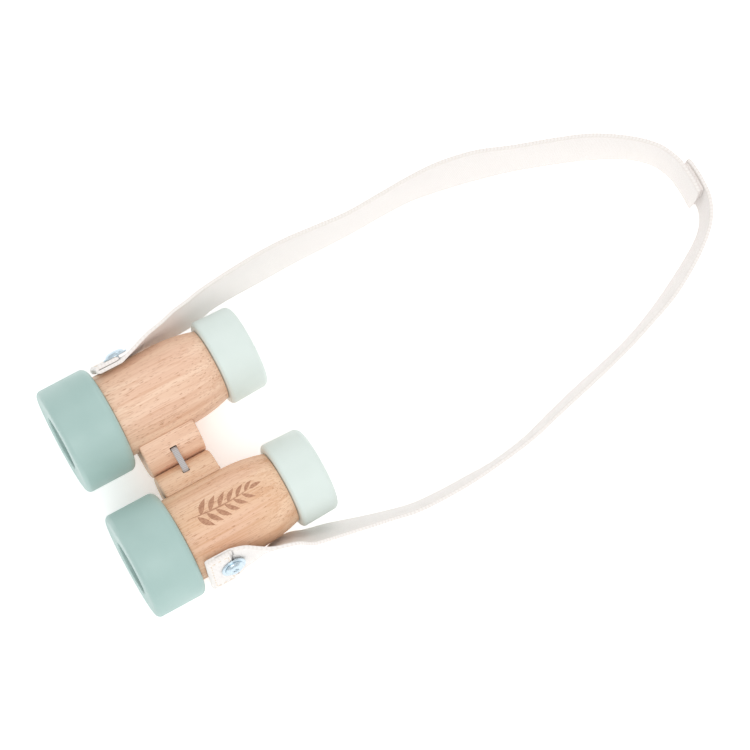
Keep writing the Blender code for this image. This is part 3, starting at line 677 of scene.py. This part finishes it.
def run_places(tube, seat, after):
    """The free run: the lower edge's height, half the width along the lean, and the lean's way."""
    side = SIDES[tube]
    out, on, share, lean = np.array(RUNS[tube], float).T
    lean = np.radians(lean)[:, None]
    flat = np.stack([seat[0] + side * out, seat[1] + on], 1)
    ahead = np.concatenate([flat[1:], after[None, :2]]) - np.concatenate([flat[:1], flat[:-1]])
    away = side * unit_rows(np.stack([-ahead[:, 1], ahead[:, 0]], 1))
    up = np.concatenate([away * np.sin(lean), np.cos(lean)], 1)
    seat_edge = seat[2] - TAPE_WIDTH / 2 * math.cos(FOLD) - TAPE_LIFT
    height = share[:, None] * seat_edge + TAPE_LIFT
    height += TAPE_WIDTH / 2 * np.cos(lean) + TAPE_THICKNESS / 2 * np.sin(lean)
    return np.concatenate([flat, height], 1), up


def curve_through(values, first, steps=12):
    """The smooth cubic through a list of points, whose slope at each is half its neighbours' gap."""
    before = np.concatenate([values[:1], values[:-2]])
    here, ahead = values[:-1], values[1:]
    after = np.concatenate([values[2:], values[-1:]])
    start, end = (ahead - before) / 2, (after - here) / 2
    t = np.linspace(0, 1, steps, endpoint=False)[None, :, None]
    here, ahead, start, end = (v[:, None] for v in (here, ahead, start, end))
    points = (here * (2 * t**3 - 3 * t**2 + 1) + start * (t**3 - 2 * t**2 + t)
              + ahead * (3 * t**2 - 2 * t**3) + end * (t**3 - t**2))
    return np.concatenate([points[first:].reshape(-1, 3), values[-1:]])


def tape_route(tube):
    """Centres and upward ways in mm, from the cut end round the fold and along to the closure."""
    upward = ways(tube)[1]
    seat = on_tube(tube, MIDDLE_LAYER, SCREW_BEHIND, 0.0) / MM
    start, end, layer = ARCS[tube]
    last, last_up = closure_places(seat, np.linspace(start, end, 5), layer)
    run, run_up = run_places(tube, seat, last[0])
    bend = (OUTER_LAYER - INNER_LAYER) / 2
    turn = np.linspace(np.pi / 2, -np.pi / 2, 13)
    fold_centre = FOLD_FRONT + TAPE_THICKNESS / 2 + bend
    flap = np.linspace(FLAP_END, fold_centre, 12, endpoint=False)
    layers = np.concatenate([0 * flap + OUTER_LAYER, (OUTER_LAYER + INNER_LAYER) / 2
                             + bend * np.sin(turn), [INNER_LAYER] * 3])
    behind = np.concatenate([flap, fold_centre - bend * np.cos(turn), [33.5, 36.5, 39.5]])
    folded = on_tube(tube, layers, behind, 0.0) / MM
    leaving = on_tube(tube, np.array([INNER_LAYER, INNER_LAYER, 22.8]),
                      np.array([36.0, 42.0, 49.0]), 0.0) / MM
    peeled = math.cos(PEEL) * upward + math.sin(PEEL) * ways(tube)[0]
    centres = curve_through(np.concatenate([leaving, run, last]), first=1)
    ups = curve_through(np.concatenate([[upward, upward, peeled], run_up, last_up]), first=1)
    fold_rows = np.tile(upward, (len(folded), 1))
    return np.concatenate([folded, centres]), np.concatenate([fold_rows, ups]), seat


# %% [markdown]
# The tape's cross-section is a thin rounded bar with slightly thicker selvedges, the woven edges.
# It is carried along the route: at each point the way ahead and the upward way give the tape's own
# directions. A slow ripple of a few tenths of a millimetre keeps the edges from looking ruled.


# %% The tape's surface
def tape_section(width, thickness, selvedge=0.12):
    """Across and out for points round the section: straight faces joined by squarish half rounds.

    A power below one of the cosine and the sine pushes a half circle out towards a square.
    """
    half = width / 2 - thickness / 2
    flat = half * np.sin(np.linspace(-np.pi / 2, np.pi / 2, 25))
    bulge = thickness / 2 + selvedge * np.exp(-((np.abs(flat) - half) / 1.1) ** 2)
    turn = np.linspace(-np.pi / 2, np.pi / 2, 9)[1:-1]
    reach = thickness / 2 + selvedge
    cosine, sine = np.cos(turn) ** 0.45, np.sign(np.sin(turn)) * np.abs(np.sin(turn)) ** 0.6
    wide = np.concatenate([flat, half + reach * cosine, flat[::-1], -half - reach * cosine])
    out = np.concatenate([-bulge, reach * sine, bulge[::-1], -reach * sine])
    return wide, out


def tape_piece(name, centres, ups, width, thickness, material, ripple=0.0, spacing=0.9):
    """Place = centre + across-way times up + out-way times the thickness, closed at both ends."""
    route, far = resampled(np.concatenate([centres, ups], 1), spacing)
    centres, ups = route[:, :3], route[:, 3:]
    ahead = unit_rows(np.gradient(centres, axis=0))
    ups = unit_rows(ups - ahead * np.sum(ups * ahead, 1, keepdims=True))
    outs = np.cross(ahead, ups)
    wide, out = tape_section(width, thickness)
    shares = np.array([0.0, 0.55, 0.85] + [1.0] * (len(far) - 6) + [0.85, 0.55, 0.0])[:, None]
    wave = ripple * np.sin(far / 17.0) * np.sin(far / 41.0 + 1.0)
    grid = centres[:, None] + ups[:, None] * (wide * np.where(shares > 0, 1, 0))[..., None]
    rippled = out * shares + wave[:, None] * (wide / width) ** 2 * 4
    grid = grid + outs[:, None] * rippled[..., None]
    faces = grid_faces(*grid.shape[:2])
    piece = mesh_piece(name, MM * grid, faces, material)
    places = np.array([vertex.co[:] for vertex in piece.data.vertices]) / MM
    nearest = nearest_rows(places, centres)
    values = np.stack([far[nearest], np.sum((places - centres[nearest]) * ups[nearest], 1),
                       0 * far[nearest]], 1)
    attribute(piece, "tape", values)
    pieces[name] = piece
    return piece, centres, far


def nearest_rows(places, centres):
    """The number of the nearest centre to each place, found in blocks to save memory."""
    blocks = np.array_split(places, max(1, len(places) // 2000))
    return np.concatenate([np.argmin(((b[:, None] - centres) ** 2).sum(-1), 1) for b in blocks])


# %% [markdown]
# ## Closure
#
# Near the strap's far end the two halves overlap by about two centimetres, with a hook-and-loop
# patch between them that lets go when pulled hard. Each patch is a slightly narrower strip of rough
# pile, carried along the same circle.

# %% Closure and strap halves
PATCH_WIDTH, PATCH_THICKNESS = 22.0, 1.05
for tube, side in SIDES.items():
    centres, ups, seat = tape_route(tube)
    strap, middle, far = tape_piece(tube + "_cotton_tape", centres, ups, TAPE_WIDTH,
                                    TAPE_THICKNESS, cotton, ripple=0.35)
    layer = 0.8 + PATCH_THICKNESS * (0.5 if tube == "right" else 1.55)
    angles = np.linspace(ARCS["left"][1] + 0.8, ARCS["right"][1] - 0.8, 12)
    patch_centres, patch_ups = closure_places(seat, angles, layer)
    patch = tape_piece(tube + "_pile_patch", patch_centres, patch_ups, PATCH_WIDTH,
                       PATCH_THICKNESS, pile, spacing=0.6)[0]
    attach(patch, "hinge_band")
    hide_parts(tube + "_closure_patch")
    start = int(np.argmin(np.abs(far - (FLAP_END - FOLD_FRONT))))
    path = MM * middle[start::4]
    if np.linalg.norm(path[-1] - MM * middle[-1]) > 1e-6:
        path = np.concatenate([path, MM * middle[-1:]])
    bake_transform(strap)
    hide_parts(tube + "_strap")

# %% [markdown]
# ## Stitches
#
# The fold is held by a box of machine stitches. Each stitch is a short thread that dips into the
# cloth at both ends: a thin tube along a small arch. They repeat every two millimetres or so.

# %% Stitches
STITCH_LENGTH, STITCH_GAP, STITCH_RADIUS = 1.9, 0.9, 0.22


def stitch_line(start, end):
    """Middles of stitches laid evenly along a line, and the line's direction."""
    start, end = np.array(start, float), np.array(end, float)
    length = np.linalg.norm(end - start)
    count = max(1, round(length / (STITCH_LENGTH + STITCH_GAP)))
    return [(start + (end - start) * (i + 0.5) / count, (end - start) / length)
            for i in range(count)]


def stitch_grid(tube, middle, way):
    """An arch: the height over the cloth is a sine along the stitch, and the thread is round."""
    along = np.linspace(-0.5, 0.5, 9)[:, None]
    turn = np.linspace(0, 2 * np.pi, 8, endpoint=False)[None, :]
    radius = STITCH_RADIUS * np.sqrt(np.clip(1 - (2 * along) ** 6, 0, 1))
    rise = OUTER_LAYER + TAPE_THICKNESS / 2 + 0.3 * np.cos(np.pi * along) - 0.2
    aside = np.array([-way[1], way[0]])
    behind = middle[0] + along * STITCH_LENGTH * way[0] + radius * np.cos(turn) * aside[0]
    up = middle[1] + along * STITCH_LENGTH * way[1] + radius * np.cos(turn) * aside[1]
    return on_tube(tube, rise + radius * np.sin(turn), behind, up)


near, far_off, edge = FOLD_FRONT + 2.4, FLAP_END - 1.8, TAPE_WIDTH / 2 - 2.0
corners = [(near, edge), (far_off, edge), (far_off, -edge), (near, -edge)]
for tube in SIDES:
    grids = [stitch_grid(tube, middle, way) for a, b in zip(corners, corners[1:] + corners[:1])
             for middle, way in stitch_line(a, b)]
    stitches = grids_piece(tube + "_strap_stitches", grids, thread)
    pieces[stitches.name] = stitches
    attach(stitches, tube + "_tube")
print("stitches a side:", len(grids))

# %% [markdown]
# ## Screws and washers
#
# A pan-head screw with a cross recess and a flat washer hold each strap end. Both are outlines
# turned round the screw's axis, which points out of the tube. The cross is cut as two slots whose
# sides slope inwards.

# %% Screws and washers
WASHER_SEAT = OUTER_LAYER + TAPE_THICKNESS / 2 + 0.08
WASHER_THICKNESS, WASHER_RADIUS = 0.9, 6.15
HEAD_RADIUS, HEAD_HEIGHT = 4.7, 1.8


def screwed(name, tube, outline, closed, sides=96):
    """out = height over the tube's axis, behind and up = radius times cosine and sine."""
    radius, height = rounded(outline, 8, closed).T[:, :, None]
    angle = np.linspace(0, 2 * np.pi, sides, endpoint=False)
    grid = on_tube(tube, height, SCREW_BEHIND + radius * np.cos(angle), radius * np.sin(angle))
    return grids_piece(name, [grid], nickel, close_rows=closed)


def recess(tube, along_tube, top):
    """A slot that narrows downwards: four corners at the top and four smaller ones below."""
    rows = []
    for height, long, short in ((top + 1, 1.9, 0.5), (top - 1.2, 0.9, 0.35)):
        a, b = (long, short) if along_tube else (short, long)
        square = np.array([(a, b), (-a, b), (-a, -b), (a, -b)])
        rows.append(on_tube(tube, height, SCREW_BEHIND + square[:, 0], square[:, 1]))
    ends = [np.broadcast_to(row.mean(0), row.shape) for row in rows]
    return grids_piece("recess_cutter", [np.array([ends[0], *rows, ends[1]])], nickel)


for tube in SIDES:
    low, high = WASHER_SEAT, WASHER_SEAT + WASHER_THICKNESS
    washer = screwed(tube + "_round_washer", tube, [
        (1.9, low, 0.1), (WASHER_RADIUS, low, 0.25), (WASHER_RADIUS, high, 0.4), (1.9, high, 0.2),
    ], closed=True)
    top = high + HEAD_HEIGHT
    dome = [(1.6, high - 12, 0), (1.6, high, 0), (HEAD_RADIUS, high, 0.15)]
    dome += [(HEAD_RADIUS, high + 0.7, 1.2), (3.2, top - 0.15, 1.5), (0, top, 0)]
    screw = screwed(tube + "_cross_screw", tube, [(0, high - 12, 0), *dome], closed=False)
    for along_tube in (True, False):
        carve(screw, recess(tube, along_tube, top))
    for piece, node in ((washer, "_strap_washer"), (screw, "_strap_screw")):
        pieces[piece.name] = piece
        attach(piece, tube + "_tube")
        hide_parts(tube + node)
print("screw faces:", len(screw.data.polygons))

# %% [markdown]
# ## Burnt twig
#
# The left barrel has a small decoration burnt into it. Here it is a plain leafy twig. A stem and
# its leaves are thin flat lenses wrapped on the barrel: a way along the tube and a way round it,
# which is turned to an angle by dividing by the radius. They stand a few hundredths of a
# millimetre proud, because a burnt mark has no thickness of its own.

# %% Burnt twig
TWIG_MIDDLE, TWIG_ANGLE = 50.0, math.radians(81)
barrel_behind, barrel_radius = taper()
barrel_behind = np.concatenate([[26.6], barrel_behind])
barrel_radius = np.concatenate([[20.9], barrel_radius])


def on_barrel(tube, behind, round_way, proud):
    """Behind, and the way round turned to an angle by dividing by the straight radius."""
    radius = np.interp(behind, barrel_behind, barrel_radius) + proud
    angle = TWIG_ANGLE + round_way / STRAIGHT_END[1]
    return on_tube(tube, radius * np.cos(angle), behind, radius * np.sin(angle))


def burnt(start, end, width, bow, fullest=0.45, rows=24):
    """A leaf or stem: its middle is a line bowed by a sine, its width a skewed sine of the way."""
    t = np.linspace(0, 1, rows)[:, None]
    turn = np.linspace(0, 2 * np.pi, 16, endpoint=False)[None, :]
    start, end = np.array(start, float), np.array(end, float)
    way = unit(end - start)
    aside = np.array([-way[1], way[0]])
    half = width / 2 * np.sin(np.pi * t ** (math.log(0.5) / math.log(fullest)))
    off = bow * np.sin(np.pi * t) + half * np.cos(turn)
    place = start + (end - start) * t[..., None] + off[..., None] * aside
    return on_barrel("left", TWIG_MIDDLE + place[..., 0], place[..., 1], 0.045 * np.sin(turn))


grids = [burnt((-17, 0.5), (15, 0), 0.75, -1.2, fullest=0.4, rows=48)]
for i in range(6):
    root = -12.5 + 4.6 * i
    reach = 7.0 - 0.6 * i
    for way in (1, -1):
        rise = -1.2 * math.sin(math.pi * (root + 17) / 32)
        grids.append(burnt((root + 0.9 * way, rise), (root + 0.9 * way + 5.6, rise + way * reach),
                           2.7 - 0.18 * i, 0.5 * way))
grids.append(burnt((14.0, -0.1), (20.5, 0.6), 2.0, 0.3))
twig = grids_piece("left_burnt_twig", grids, scorch)
pieces[twig.name] = twig
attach(twig, "left_tube")

# %% [markdown]
# ## Dowels
#
# The dowels sit inside the wood and are never seen. They stay as the frame has them, with the
# blocks' own beech.

# %% Dowels
for name, node in frame["nodes"].items():
    if "dowel" in name:
        node.data.materials.clear()
        node.data.materials.append(block_wood[name.split("_")[0]])

# %% [markdown]
# ## Studio
#
# The toy lies on a white sweep under plain soft light: a white surround, a large soft light behind
# the camera and a weaker one opposite. The floor gives off a little light of its own, so that it
# stays white right up to the toy and the shadows under it are faint.

# %% Studio
bpy.context.scene.view_settings.view_transform = "Standard"
world = bpy.data.worlds.new("white_surround")
bpy.context.scene.world = world
world.use_nodes = True
world.node_tree.nodes["Background"].inputs["Color"].default_value = (1, 1, 1, 1)
world.node_tree.nodes["Background"].inputs["Strength"].default_value = 0.8


def soft_light(name, place, size, power):
    """A square light that faces the hinge."""
    light = bpy.data.lights.new(name, "AREA")
    light.size, light.energy = size, power
    lamp = bpy.data.objects.new(name, light)
    place = Vector(place)
    facing = (-place).to_track_quat("-Z", "Y").to_matrix().to_4x4()
    lamp.matrix_world = Matrix.Translation(place) @ facing
    bpy.context.collection.objects.link(lamp)


soft_light("key", (-0.85, 0.25, 1.6), 1.0, 9.5)
soft_light("fill", (0.9, -1.0, 1.2), 1.2, 4.0)

sweep, tree, shader = finish("white_sweep", "#FFFFFF", 0.9, emission_strength=0.3)
shader.inputs["Emission Color"].default_value = (1, 1, 1, 1)
floor_mesh = bpy.data.meshes.new("floor")
floor_mesh.from_pydata([(-6, -6, 0), (6, -6, 0), (6, 6, 0), (-6, 6, 0)], [], [(0, 1, 2, 3)])
floor_mesh.materials.append(sweep)
floor = bpy.data.objects.new("floor", floor_mesh)
bpy.context.collection.objects.link(floor)
